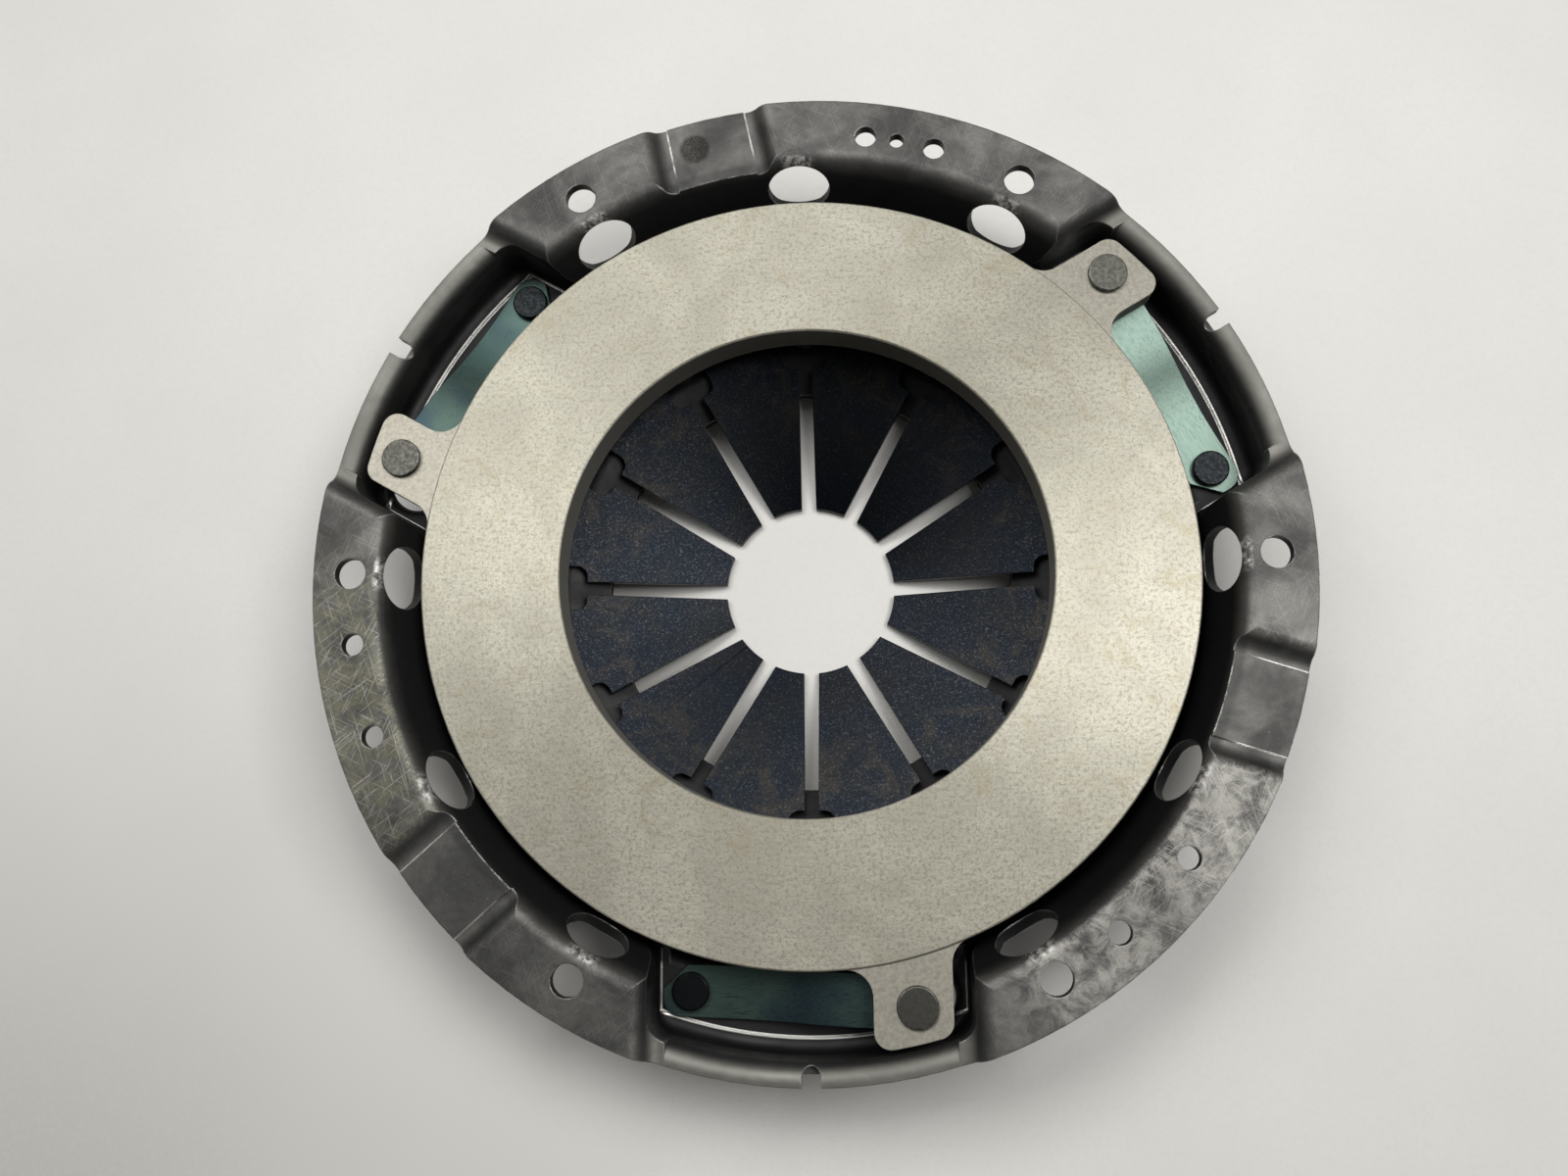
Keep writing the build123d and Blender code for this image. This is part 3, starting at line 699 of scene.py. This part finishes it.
@dataclass(frozen=True)
class TemperedStrip(Finish):
    """Blue-green tempered strip with rolling lines along the leaf, and a painted highlight that makes the
    first station paler.
    """

    edge_width: float = 0.25
    teal: tuple = (0.045, 0.078, 0.071)
    green: tuple = (0.058, 0.090, 0.076)
    blue: tuple = (0.021, 0.037, 0.055)
    dark: tuple = (0.009, 0.016, 0.016)
    first_station_sheen: tuple = (0.150, 0.205, 0.172)
    sheen_half_angle: float = 40.0

    def surface(self, paint: Painter) -> Coat:
        """Draws the temper colours, the painted highlight at the first station and the rolling lines over
        them.
        """
        place = paint.at
        x, y, z = paint.split(paint.local)
        rolled = paint.lines(paint.join(y, x, z), 0.32, 40.0)
        cloud = paint.noise(place, 0.05, 2.0, 0.4, 0.2)
        blue = paint.ramp(paint.noise(place, 0.04, 2.0, 0.45, 0.2), 0.48, 0.66)
        colour = paint.mix(paint.ramp(cloud, 0.35, 0.62), self.teal, self.green)
        colour = paint.mix(paint.times(blue, 0.8), colour, self.blue)
        # Painted highlight: the straps at the first station are made paler.
        first = paint.band(paint.angle, FIRST_STATION, self.sheen_half_angle, 5.0)
        colour = paint.mix(paint.times(first, 0.85), colour, self.first_station_sheen)
        colour = paint.mix(paint.ramp(rolled, 0.42, 0.30, 0.0, 0.75), colour, self.dark)
        colour = paint.mix(paint.ramp(rolled, 0.58, 0.72, 0.0, 0.4), colour, self.green)
        colour, _, rounded = paint.wear(colour, self.green, self.edge_width, 0.3)
        return colour, paint.ramp(rolled, 0.3, 0.7, 0.36, 0.46), paint.bump(rolled, 0.012, rounded)


@dataclass(frozen=True)
class RivetSteel(Finish):
    """Rivet or wire steel in one tone with a fine upset grain and a lighter rim."""

    edge_width: float = 0.5
    base: tuple = (0.05, 0.052, 0.054)
    rim: tuple = (0.15, 0.15, 0.15)
    rim_amount: float = 0.6
    grain: float = 0.9
    speckle: float = 0.5

    def surface(self, paint: Painter) -> Coat:
        """Draws the grain and the rim."""
        grain = paint.noise(paint.at, self.grain, 4.0, 0.7)
        colour = paint.mix(paint.ramp(grain, 0.36, 0.66, 0.0, self.speckle), self.base, self.rim)
        colour, _, rounded = paint.wear(colour, self.rim, self.edge_width, self.rim_amount)
        return colour, paint.ramp(grain, 0.35, 0.7, 0.46, 0.34), paint.bump(grain, 0.03, rounded)


@dataclass(frozen=True)
class TableTop(Finish):
    """Plain pale table top with a painted shadow that darkens it towards one corner."""

    base: tuple = (0.78, 0.765, 0.725)
    shade: tuple = (0.68, 0.665, 0.62)
    corner: tuple = (0.50, 0.49, 0.45)
    painted_shadow_place: tuple = (-260.0, -230.0)

    def surface(self, paint: Painter) -> Coat:
        """Draws faint clouds, the painted shadow at one corner and a fine grain."""
        place = paint.at
        cloud = paint.noise(place, 0.012, 3.0, 0.5)
        colour = paint.mix(paint.ramp(cloud, 0.3, 0.7, 0.0, 0.35), self.base, self.shade)
        # Painted shadow: the table darkens towards one corner.
        corner = paint.spot(self.painted_shadow_place, 20.0, 240.0)
        colour = paint.mix(paint.times(corner, 0.8), colour, self.corner)
        grain = paint.noise(place, 0.8, 4.0, 0.7)
        colour = paint.mix(paint.ramp(grain, 0.45, 0.65, 0.0, 0.25), colour, self.shade)
        return colour, paint.ramp(grain, 0.3, 0.7, 0.55, 0.6), paint.bump(grain, 0.02, strength=0.6)


class Finishes:
    """All finishes by slot, built once."""

    def __init__(self, effects: Effects) -> None:
        """Builds the materials."""
        finishes = {
            Slot.COVER: PressedSteel("satin_pressed_steel", metallic=0.9),
            Slot.PLATE: GroundIron("ground_iron", metallic=0.92, anisotropic=0.84),
            Slot.SPRING: PeenedSpring("peened_spring_steel"),
            Slot.WIRE: RivetSteel("drawn_wire", metallic=0.9, base=(0.20, 0.20, 0.20),
                                  rim=(0.32, 0.32, 0.31), grain=0.5),
            Slot.FULCRUM_RIVET: RivetSteel("phosphated_rivet", metallic=0.8, base=(0.10, 0.10, 0.10),
                                           rim=(0.22, 0.22, 0.21)),
            Slot.STRAP: TemperedStrip("tempered_strip", metallic=0.9),
            Slot.COVER_RIVET: RivetSteel("black_rivet", base=(0.0095, 0.0112, 0.012),
                                         rim=(0.026, 0.028, 0.029), rim_amount=0.4),
            Slot.LUG_RIVET: RivetSteel("turned_rivet", metallic=0.9, base=(0.055, 0.054, 0.046),
                                       rim=(0.42, 0.41, 0.37), rim_amount=0.95, speckle=0.12),
        }
        self.by_slot = {slot: finish.build(effects) for slot, finish in finishes.items()}
        self.table = TableTop("pale_table", metallic=0.0).build(effects)

    def dress(self, piece: Piece, slot: Slot) -> None:
        """Gives a new piece the finish of a slot."""
        piece.data.materials.clear()
        piece.data.materials.append(self.by_slot[slot])


# ---------------- modelling by operators
class Bench:
    """Modelling steps that the new pieces share."""

    sharp_angle = 50.0

    @staticmethod
    def mode(name: str) -> None:
        """Changes to EDIT or OBJECT mode."""
        bpy.ops.object.mode_set(mode=name)

    @staticmethod
    def clear_selection() -> None:
        """Leaves edit mode and deselects every object."""
        if bpy.context.object is not None and bpy.context.object.mode != "OBJECT":
            Bench.mode("OBJECT")
        bpy.ops.object.select_all(action="DESELECT")

    @staticmethod
    def only(piece: Piece) -> None:
        """Makes a piece the only selected and active one."""
        Bench.clear_selection()
        piece.select_set(True)
        bpy.context.view_layer.objects.active = piece

    @staticmethod
    def apply_place(piece: Piece) -> None:
        """Moves a piece's place, turn and size into its mesh."""
        Bench.only(piece)
        bpy.ops.object.transform_apply(location=True, rotation=True, scale=True)

    @staticmethod
    def pick(piece: Piece, keep: Callable[[Vector], bool], kind: str = "VERT") -> int:
        """Selects the vertices, edges or faces of a piece in edit mode whose corners all pass a test.

        Args:
            piece: The piece in edit mode.
            keep: The test of a place in millimetres.
            kind: VERT, EDGE or FACE.

        Returns:
            How many were selected.
        """
        bpy.ops.mesh.select_mode(type=kind)
        bpy.ops.mesh.select_all(action="DESELECT")
        Bench.mode("OBJECT")
        mesh = piece.data
        passed = [bool(keep(vertex.co / MM)) for vertex in mesh.vertices]
        found = 0
        for part in {"VERT": mesh.vertices, "EDGE": mesh.edges, "FACE": mesh.polygons}[kind]:
            corners = [part.index] if kind == "VERT" else part.vertices
            part.select = all(passed[i] for i in corners)
            found += part.select
        Bench.mode("EDIT")
        return found

    @staticmethod
    def modify(piece: Piece, kind: str, **settings: object) -> None:
        """Adds a modifier and applies it."""
        modifier = piece.modifiers.new(kind.lower(), kind)
        for name, value in settings.items():
            setattr(modifier, name, value)
        Bench.only(piece)
        bpy.ops.object.modifier_apply(modifier=modifier.name)

    @staticmethod
    def combine(piece: Piece, tool: Piece, operation: str = "DIFFERENCE") -> None:
        """Cuts a tool out of a piece, or adds it, and removes the tool."""
        Bench.modify(piece, "BOOLEAN", operation=operation, solver="EXACT", object=tool)
        bpy.data.objects.remove(tool, do_unlink=True)

    @staticmethod
    def break_edges(piece: Piece, width: float, segments: int) -> None:
        """Bevels the sharp edges of a piece."""
        Bench.modify(piece, "BEVEL", width=width * MM, segments=segments, limit_method="ANGLE",
                     angle_limit=math.radians(Bench.sharp_angle))

    @staticmethod
    def copy(piece: Piece) -> Piece:
        """Copies a piece with its mesh."""
        made = piece.copy()
        made.data = piece.data.copy()
        bpy.context.scene.collection.objects.link(made)
        return made

    @staticmethod
    def cylinder(radius: float, bottom: float, top: float, sides: int, x: float = 0.0) -> Piece:
        """Adds an upright cylinder.

        Args:
            radius: Its radius.
            bottom: The height of its lower end.
            top: The height of its upper end.
            sides: How many sides it has.
            x: The place of its axis on X.

        Returns:
            The new object.
        """
        Bench.clear_selection()
        bpy.ops.mesh.primitive_cylinder_add(
            vertices=sides, radius=radius * MM, depth=(top - bottom) * MM,
            location=(x * MM, 0, (bottom + top) / 2 * MM))
        Bench.apply_place(bpy.context.object)
        return bpy.context.object

    @staticmethod
    def block(x: float, z: float, size: tuple) -> Piece:
        """Adds a block about a place on X and Z."""
        Bench.clear_selection()
        bpy.ops.mesh.primitive_cube_add(size=1, location=(x * MM, 0, z * MM))
        bpy.context.object.scale = Vector(size) * MM
        Bench.apply_place(bpy.context.object)
        return bpy.context.object

    @staticmethod
    def finish(piece: Piece, name: str, angle: float) -> None:
        """Names a piece and shades it smooth, with sharp edges past an angle in degrees."""
        piece.name = name
        piece.data.name = name
        Bench.only(piece)
        bpy.ops.object.shade_smooth_by_angle(angle=math.radians(angle))
        Bench.modify(piece, "WEIGHTED_NORMAL", keep_sharp=True, weight=80)


# ---------------- strap packs
@dataclass
class StrapPacks:
    """Three packs of tangential leaves that carry the plate, riveted to the cover and to the lugs."""

    leaves: int = 3
    thickness: float = 0.6
    width: float = 14.0
    end: float = 7.7
    clamp: float = 7.0
    rise: float = 8.1
    seat_height: float = -22.9
    cover_rivet: tuple = (120.2, -16.2)
    lug_rivet: tuple = (120.8, 13.4)
    hole_radius: float = 3.5
    hole_sides: int = 32
    drill_reach: float = 3.0
    corner_cut: tuple = (6.8, 2.2)
    corner_radius: float = 2.0
    seat_corner_radius: float = 5.0
    edge_break: float = 0.07
    arc_steps: int = 12
    smooth_angle: float = 30.0

    def build(self, finishes: Finishes) -> None:
        """Models each leaf once and copies it to the stations."""
        for level in range(self.leaves):
            leaf = self._leaf(level)
            for station in range(STATION_COUNT):
                self._mount(leaf, station, level, finishes)
            bpy.data.objects.remove(leaf, do_unlink=True)

    def _leaf(self, level: int) -> Piece:
        """Models one leaf along X, with the cover rivet at the origin.

        Args:
            level: Its place in the pack, from the seat up.

        Returns:
            The leaf, with its shape in its mesh.
        """
        low = level * self.thickness
        length = (polar(*self.lug_rivet) - polar(*self.cover_rivet)).length
        flat = self.clamp + self.end
        run = length - 2 * self.clamp
        turn = 2 * math.atan(self.rise / run)
        bend = run / (2 * math.sin(turn))
        arcs = (
            (turn, (self.clamp * MM, 0, (low + bend) * MM)),
            (-turn, ((length - self.clamp) * MM, 0, (low + self.rise - bend) * MM)),
        )
        Bench.clear_selection()
        bpy.ops.mesh.primitive_plane_add(size=1, location=((self.clamp - self.end) / 2 * MM, 0, low * MM))
        leaf = bpy.context.object
        leaf.scale = (flat * MM, self.width * MM, 1)
        Bench.apply_place(leaf)
        Bench.mode("EDIT")
        Bench.pick(leaf, lambda p: p.x > self.clamp - 0.01, "EDGE")
        for angle, centre in arcs:
            bpy.ops.mesh.spin(steps=self.arc_steps, angle=angle, dupli=False, center=centre, axis=(0, 1, 0))
        bpy.ops.mesh.extrude_region_move(TRANSFORM_OT_translate={"value": (flat * MM, 0, 0)})
        self._trim_corners(leaf, length)
        bpy.ops.mesh.select_all(action="SELECT")
        bpy.ops.mesh.normals_make_consistent(inside=False)
        Bench.mode("OBJECT")
        if leaf.data.polygons[0].normal.z < 0:
            Bench.mode("EDIT")
            bpy.ops.mesh.flip_normals()
            Bench.mode("OBJECT")
        Bench.modify(leaf, "SOLIDIFY", thickness=self.thickness * MM, offset=1.0, use_even_offset=True)
        for x, height in ((0.0, low), (length, self.rise + low)):
            drill = Bench.cylinder(
                self.hole_radius, height - self.drill_reach, height + self.drill_reach, self.hole_sides, x)
            Bench.combine(leaf, drill)
        Bench.break_edges(leaf, self.edge_break, 1)
        return leaf

    def _trim_corners(self, leaf: Piece, length: float) -> None:
        """Slants one corner of the cover end and rounds the others."""
        half = self.width / 2
        run, depth = self.corner_cut
        far = length + self.end
        Bench.pick(leaf, lambda p: p.x < self.clamp + 0.01, "FACE")
        bpy.ops.mesh.bisect(
            plane_co=((-self.end + run) * MM, half * MM, 0), plane_no=(-depth, run, 0), clear_outer=True)
        corners = (
            ((-self.end, -half), self.seat_corner_radius),
            ((far, -half), self.corner_radius),
            ((far, half), self.corner_radius),
        )
        for (x, y), radius in corners:
            if Bench.pick(leaf, lambda p, x=x, y=y: abs(p.x - x) < 0.05 and abs(p.y - y) < 0.05):
                bpy.ops.mesh.bevel(offset=radius * MM, segments=5, affect="VERTICES")

    def _mount(self, leaf: Piece, station: int, level: int, finishes: Finishes) -> None:
        """Copies a leaf to a station, where it bends between cover and plate.

        Args:
            leaf: The leaf in its own frame.
            station: The station's number, from 0.
            level: The leaf's place in the pack.
            finishes: The finishes.
        """
        name = f"strap_{station + 1}_leaf_{level + 1}"
        turn = FIRST_STATION + STATION_STEP * station
        start, end = (polar(radius, angle + turn, self.seat_height) * MM
                      for radius, angle in (self.cover_rivet, self.lug_rivet))
        direction = (end - start).normalized()
        across = Vector((0, 0, 1)).cross(direction)
        piece = Bench.copy(leaf)
        piece.matrix_world = Matrix((
            (direction.x, across.x, 0, start.x),
            (direction.y, across.y, 0, start.y),
            (0, 0, 1, start.z),
            (0, 0, 0, 1)))
        Bench.apply_place(piece)
        Bench.finish(piece, f"{name}_sprung", self.smooth_angle)
        finishes.dress(piece, Slot.STRAP)
        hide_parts(name)
        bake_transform(piece)
        LOG.info("leaf %s", piece.name)


# ---------------- diaphragm spring
@dataclass
class DiaphragmSpring:
    """Coned disc spring slotted into fingers, which flattens over its fulcrum as the plate slides."""

    thickness: float = 2.4
    cone: float = 16.8
    outer_radius: float = 101.0
    tip_radius: float = 25.8
    tip_height: float = -44.4
    tip_spare: float = 2.0
    fingers: int = 12
    slot_tip: float = 4.6
    slot_root: float = 3.9
    slot_lead: float = 5.0
    slot_overlap: float = 1.5
    window_inner: float = 66.95
    window_outer: float = 82.6
    window_width: float = 13.4
    window_corner: float = 3.0
    tool_height: float = -35.0
    tool_depth: float = 60.0
    window_tool_depth: float = 58.0
    fulcrum_height: float = -28.0
    keep: float = 0.28
    edge_break: float = 0.15
    steps: int = 240
    smooth_angle: float = 32.0

    def build(self, finishes: Finishes) -> None:
        """Models the spring."""
        disc = self._disc()
        Bench.combine(disc, self._tools())
        Bench.break_edges(disc, self.edge_break, 2)
        Bench.finish(disc, "diaphragm_spring_sprung", self.smooth_angle)
        finishes.dress(disc, Slot.SPRING)
        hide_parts("diaphragm_spring")
        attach(disc, Body.COVER.value)
        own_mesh(disc)
        LOG.info("diaphragm %s", disc.name)

    def _disc(self) -> Piece:
        """Spins the section into a closed cone and bores it at the finger tips."""
        slope = math.radians(self.cone)
        run = self.outer_radius - self.tip_radius + self.tip_spare
        long = run / math.cos(slope) - self.thickness * math.tan(slope)
        low = self.tip_height - self.tip_spare * math.tan(slope)
        start = Vector((self.tip_radius - self.tip_spare, 0, low))
        middle = start + Vector((math.cos(slope), 0, math.sin(slope))) * (long / 2)
        middle += Vector((math.sin(slope), 0, -math.cos(slope))) * (self.thickness / 2)
        Bench.clear_selection()
        bpy.ops.mesh.primitive_plane_add(size=1, location=middle * MM, rotation=(math.pi / 2, -slope, 0))
        disc = bpy.context.object
        disc.scale = (long * MM, self.thickness * MM, 1)
        Bench.apply_place(disc)
        Bench.mode("EDIT")
        bpy.ops.mesh.select_all(action="SELECT")
        bpy.ops.mesh.delete(type="ONLY_FACE")
        bpy.ops.mesh.select_all(action="SELECT")
        bpy.ops.mesh.spin(steps=self.steps, angle=2 * math.pi, dupli=False, center=(0, 0, 0), axis=(0, 0, 1))
        bpy.ops.mesh.select_all(action="SELECT")
        bpy.ops.mesh.remove_doubles(threshold=0.01 * MM)
        bpy.ops.mesh.normals_make_consistent(inside=False)
        Bench.mode("OBJECT")
        Bench.combine(disc, Bench.cylinder(self.tip_radius, -self.tool_depth, 0, self.steps))
        return disc

    def _tools(self) -> Piece:
        """Slot and window cutters, joined in one object of separate closed shapes."""
        parts = [self._tool()]
        for i in range(1, self.fingers):
            other = Bench.copy(parts[0])
            other.rotation_euler = (0, 0, math.radians(360 / self.fingers * i))
            parts.append(other)
        Bench.clear_selection()
        for part in parts:
            part.select_set(True)
        bpy.context.view_layer.objects.active = parts[0]
        bpy.ops.object.join()
        Bench.apply_place(parts[0])
        return parts[0]

    def _tool(self) -> Piece:
        """Cutter for one slot and its window."""
        start = self.tip_radius - self.slot_lead
        end = self.window_inner + self.slot_overlap
        slot = Bench.block(
            (start + end) / 2, self.tool_height, (end - start, self.slot_tip, self.tool_depth))
        Bench.mode("EDIT")
        Bench.pick(slot, lambda p: p.x > (start + end) / 2)
        bpy.ops.transform.resize(
            value=(1, self.slot_root / self.slot_tip, 1), center_override=(end * MM, 0, 0))
        Bench.mode("OBJECT")
        window = Bench.block(
            (self.window_inner + self.window_outer) / 2, self.tool_height,
            (self.window_outer - self.window_inner, self.window_width, self.window_tool_depth))
        Bench.mode("EDIT")
        bpy.ops.mesh.select_mode(type="EDGE")
        bpy.ops.mesh.select_all(action="DESELECT")
        Bench.mode("OBJECT")
        for edge in window.data.edges:
            first, second = (window.data.vertices[i].co for i in edge.vertices)
            edge.select = abs(first.z - second.z) > 0.01
        Bench.mode("EDIT")
        bpy.ops.mesh.bevel(offset=self.window_corner * MM, segments=8, affect="EDGES")
        Bench.mode("OBJECT")
        Bench.combine(window, slot, "UNION")
        return window


# ---------------- carried parts
@dataclass
class CarriedParts:
    """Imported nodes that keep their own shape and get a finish, found by the start of their names."""

    prefixes: tuple = (
        ("cover", Slot.COVER),
        ("pressure_plate", Slot.PLATE),
        ("diaphragm_spring", Slot.SPRING),
        ("fulcrum_ring", Slot.WIRE),
        ("fulcrum_rivet", Slot.FULCRUM_RIVET),
        ("strap_cover_rivet", Slot.COVER_RIVET),
        ("strap_lug_rivet", Slot.LUG_RIVET),
        ("strap_", Slot.STRAP),
    )

    def dress(self, nodes: dict, finishes: Finishes) -> None:
        """Gives every node the finish of its kind."""
        for name, node in sorted(nodes.items()):
            slot = next(s for prefix, s in self.prefixes if name.startswith(prefix))
            for material_slot in node.material_slots:
                material_slot.material = finishes.by_slot[slot]
            LOG.info("node %s: %s", name, slot.value)


# ---------------- studio
@dataclass(frozen=True)
class Lamp:
    """A large soft lamp that faces the part. Its place and sides are in metres, its power in watts."""

    name: str
    place: tuple
    sides: tuple
    power: float

    def build(self) -> None:
        """Adds the lamp."""
        data = bpy.data.lights.new(self.name, "AREA")
        data.shape = "RECTANGLE"
        data.size, data.size_y = self.sides
        data.energy = self.power
        lamp = bpy.data.objects.new(self.name, data)
        bpy.context.scene.collection.objects.link(lamp)
        lamp.location = self.place
        lamp.rotation_euler = (-Vector(self.place)).to_track_quat("-Z", "Y").to_euler()


@dataclass
class Studio:
    """Floor, soft lights and camera."""

    floor_size: float = 6.0
    world_light: float = 0.12
    lamps: tuple = (
        Lamp("right_light", (0.43, 0.14, 0.87), (0.50, 0.40), 4.8),
        Lamp("left_light", (-0.47, 0.32, 0.84), (0.40, 0.45), 2.4),
        Lamp("back_light", (-0.08, 0.46, 0.92), (0.50, 0.40), 3.9),
    )
    camera_place: tuple = (16.07, -65.52, 334.65)
    camera_tilt: float = -0.1724
    camera_pan: float = -0.0657
    camera_roll: float = -0.65
    lens: float = 28.63
    sensor: float = 36.0

    def build(self, finishes: Finishes, floor_height: float) -> None:
        """Sets the stage.

        Args:
            finishes: The finishes.
            floor_height: The height of the table top, in metres.
        """
        self._camera()
        self._floor(finishes, floor_height)
        self._world()
        for lamp in self.lamps:
            lamp.build()
        bpy.context.scene.view_settings.view_transform = "Standard"

    def _camera(self) -> None:
        """Camera above the part, a little to the front."""
        data = bpy.data.cameras.new("camera")
        data.lens, data.sensor_width = self.lens, self.sensor
        data.clip_start, data.clip_end = 0.01, 50.0
        camera = bpy.data.objects.new("camera", data)
        bpy.context.scene.collection.objects.link(camera)
        to_camera = Matrix.Rotation(self.camera_tilt, 4, "X") @ Matrix.Rotation(self.camera_pan, 4, "Y")
        roll = Matrix.Rotation(math.radians(self.camera_roll), 4, "Z")
        place = Matrix.Translation(Vector(self.camera_place) * MM)
        camera.matrix_world = place @ roll @ to_camera.transposed()
        bpy.context.scene.camera = camera
        LOG.info("camera")

    def _floor(self, finishes: Finishes, height: float) -> None:
        """Plain table top under the finger tips."""
        Bench.clear_selection()
        bpy.ops.mesh.primitive_plane_add(size=self.floor_size, location=(0, 0, height))
        floor = bpy.context.object
        Bench.apply_place(floor)
        floor.name = "table_top"
        floor.data.materials.append(finishes.table)
        floor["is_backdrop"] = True
        LOG.info("floor")

    def _world(self) -> None:
        """Even soft light all round."""
        world = bpy.data.worlds.new("soft_surround")
        bpy.context.scene.world = world
        world.use_nodes = True
        background = next(n for n in world.node_tree.nodes if n.type == "BACKGROUND")
        background.inputs["Color"].default_value = (1.0, 1.0, 0.99, 1.0)
        background.inputs["Strength"].default_value = self.world_light


def main() -> None:
    """Builds the dressed model."""
    logging.basicConfig(level=logging.INFO, format="%(name)s: %(message)s")
    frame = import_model()
    cad_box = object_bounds()
    finishes = Finishes(Effects())
    Studio().build(finishes, cad_box[0].z)
    CarriedParts().dress(frame["nodes"], finishes)
    StrapPacks().build(finishes)
    DiaphragmSpring().build(finishes)
    Bench.clear_selection()
    LOG.info("sizes kept")


if __name__ == "__main__":
    main()
